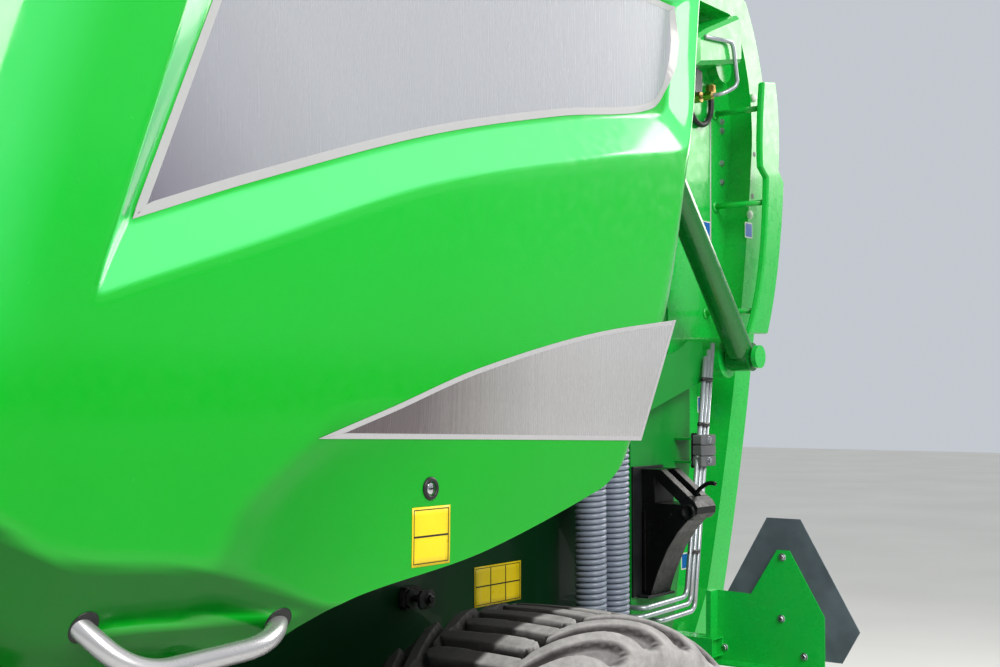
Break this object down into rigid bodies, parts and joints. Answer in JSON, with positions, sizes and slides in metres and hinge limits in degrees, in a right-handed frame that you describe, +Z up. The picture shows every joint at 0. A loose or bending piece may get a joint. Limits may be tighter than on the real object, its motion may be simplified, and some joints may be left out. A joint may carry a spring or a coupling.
{
  "type": "round baler",
  "caption": "Towed round baler with a belt chamber, lifting moulded side covers, tined pickup, hinged tailgate with rams, drawbar, jack and flotation tyres.",
  "frame": {"origin": "on the ground, at the middle of the machine's length and width", "axes": "+X forward to the tow ring, +Y to the machine's left, +Z up"},
  "size_m": [4.6652, 2.674, 2.94],
  "materials": {
    "green_paint": "gloss paint",
    "cover_plastic": "high gloss",
    "silver_panel": "metallic silver film",
    "grab_paint": "satin white silver",
    "tyre_rubber": "dusty matt",
    "gauge_rubber": "matt",
    "rim_paint": "gloss paint",
    "chromed_rod": "mirror",
    "spring_steel": "satin grey",
    "belt_rubber": "matt ribbed",
    "black_plastic": "fine grain",
    "zinc_pipe": "zinc plated",
    "guard_plastic": "satin",
    "plate_back": "satin grey back",
    "lamp_lens": "clear gloss",
    "net_white": "wound net",
    "bare_steel": "worn steel",
    "cast_housing": "painted casting",
    "dark_steel": "oiled dark steel"
  },
  "bodies": {
    "chassis": {"axle_beam": "green_paint", "belt_springs": "spring_steel", "chassis_belts": "belt_rubber", "chassis_rollers": "bare_steel", "chocks": "black_plastic", "cross_beam": "green_paint", "drawbar_head": "green_paint", "drawbar_left": "green_paint", "drawbar_right": "green_paint", "feed_floor": "green_paint", "gearbox": "cast_housing", "jack_sleeve": "green_paint", "marker_plate": "plate_back", "net_box": "green_paint", "net_roll": "net_white", "pipes": "zinc_pipe", "pto_shaft": "guard_plastic", "rear_lamps": "lamp_lens", "roof_panel": "green_paint", "side_wall_left": "green_paint", "side_wall_right": "green_paint", "sign_bracket_left": "green_paint", "sign_bracket_right": "green_paint", "sign_plate": "plate_back", "tow_ring": "bare_steel"},
    "wheel_left": {"tyre_left": "tyre_rubber", "rim_left": "rim_paint"},
    "wheel_right": {"tyre_right": "tyre_rubber", "rim_right": "rim_paint"},
    "cover_left": {"cover_left": "cover_plastic", "trim_left": "silver_panel", "grab_left": "grab_paint"},
    "cover_right": {"cover_right": "cover_plastic", "trim_right": "silver_panel", "grab_right": "grab_paint"},
    "tailgate": {"tailgate_wall_left": "green_paint", "tailgate_wall_right": "green_paint", "tailgate_roof": "green_paint", "tailgate_tubes": "green_paint", "tailgate_guards": "green_paint", "tailgate_rollers": "bare_steel", "tailgate_belts": "belt_rubber"},
    "ram_barrel_left": {"ram_barrel_left": "green_paint"},
    "ram_barrel_right": {"ram_barrel_right": "green_paint"},
    "ram_rod_left": {"ram_rod_left": "chromed_rod"},
    "ram_rod_right": {"ram_rod_right": "chromed_rod"},
    "pickup": {"pickup_sides": "green_paint", "pickup_beam": "green_paint", "pickup_bands": "bare_steel"},
    "pickup_reel": {"pickup_reel": "dark_steel"},
    "gauge_wheel_left": {"gauge_wheel_left": "gauge_rubber"},
    "gauge_wheel_right": {"gauge_wheel_right": "gauge_rubber"},
    "crop_guard": {"crop_guard": "green_paint"},
    "feed_rotor": {"feed_rotor": "dark_steel"},
    "jack_leg": {"jack_leg": "bare_steel"},
    "net_lid": {"net_lid": "green_paint"}
  },
  "joints": [
    {"name": "wheel_left_spin", "type": "hinge", "parent": "chassis", "child": "wheel_left", "pos_m": [-0.63, 1.025, 0.6], "axis": [0, 1, 0], "continuous": true},
    {"name": "wheel_right_spin", "type": "hinge", "parent": "chassis", "child": "wheel_right", "pos_m": [-0.63, -1.025, 0.6], "axis": [0, 1, 0], "continuous": true},
    {"name": "cover_left_lift", "type": "hinge", "parent": "chassis", "child": "cover_left", "pos_m": [-0.13, 0.84, 2.8], "axis": [1, 0, 0], "range_deg": [0, 85]},
    {"name": "cover_right_lift", "type": "hinge", "parent": "chassis", "child": "cover_right", "pos_m": [-0.13, -0.84, 2.8], "axis": [-1, 0, 0], "range_deg": [0, 85]},
    {"name": "tailgate_lift", "type": "hinge", "parent": "chassis", "child": "tailgate", "pos_m": [-1.33, 0, 2.85], "axis": [0, 1, 0], "range_deg": [0, 62]},
    {"name": "jack_slide", "type": "slide", "parent": "chassis", "child": "jack_leg", "axis": [0, 0, 1], "range_m": [0, 0.45]},
    {"name": "net_lid_lift", "type": "hinge", "parent": "chassis", "child": "net_lid", "pos_m": [0.442, 0, 1.905], "axis": [0, -1, 0], "range_deg": [0, 80]},
    {"name": "pickup_lift", "type": "hinge", "parent": "chassis", "child": "pickup", "pos_m": [0.1, 0, 0.7], "axis": [0, 1, 0], "range_deg": [0, 14]},
    {"name": "reel_spin", "type": "hinge", "parent": "pickup", "child": "pickup_reel", "pos_m": [0.67, 0, 0.47], "axis": [0, 1, 0], "continuous": true},
    {"name": "gauge_left_spin", "type": "hinge", "parent": "pickup", "child": "gauge_wheel_left", "pos_m": [0.55, 1.09, 0.3], "axis": [0, 1, 0], "continuous": true},
    {"name": "gauge_right_spin", "type": "hinge", "parent": "pickup", "child": "gauge_wheel_right", "pos_m": [0.55, -1.09, 0.3], "axis": [0, 1, 0], "continuous": true},
    {"name": "crop_guard_lift", "type": "hinge", "parent": "pickup", "child": "crop_guard", "pos_m": [0.5, 0, 0.64], "axis": [0, -1, 0], "range_deg": [0, 6]},
    {"name": "feed_rotor_spin", "type": "hinge", "parent": "chassis", "child": "feed_rotor", "pos_m": [-0.01, 0, 0.6], "axis": [0, 1, 0], "continuous": true},
    {"name": "ram_left_swing", "type": "hinge", "parent": "tailgate", "child": "ram_barrel_left", "pos_m": [-1.96, 0.8, 1.762], "axis": [0, 1, 0], "range_deg": [-0.8, 0]},
    {"name": "ram_left_stroke", "type": "slide", "parent": "ram_barrel_left", "child": "ram_rod_left", "axis": [0.6534, 0, 0.757], "range_m": [0, 0.281]},
    {"name": "ram_right_swing", "type": "hinge", "parent": "tailgate", "child": "ram_barrel_right", "pos_m": [-1.96, -0.8, 1.762], "axis": [0, 1, 0], "range_deg": [-0.8, 0]},
    {"name": "ram_right_stroke", "type": "slide", "parent": "ram_barrel_right", "child": "ram_rod_right", "axis": [0.6534, 0, 0.757], "range_m": [0, 0.281]}
  ],
  "couplings": [
    {"joint": "ram_left_swing", "follows": "tailgate_lift", "ratio": -0.00375},
    {"joint": "ram_left_stroke", "follows": "tailgate_lift", "m_per_rad": 0.25678},
    {"joint": "ram_right_swing", "follows": "tailgate_lift", "ratio": -0.00375},
    {"joint": "ram_right_stroke", "follows": "tailgate_lift", "m_per_rad": 0.25678}
  ]
}
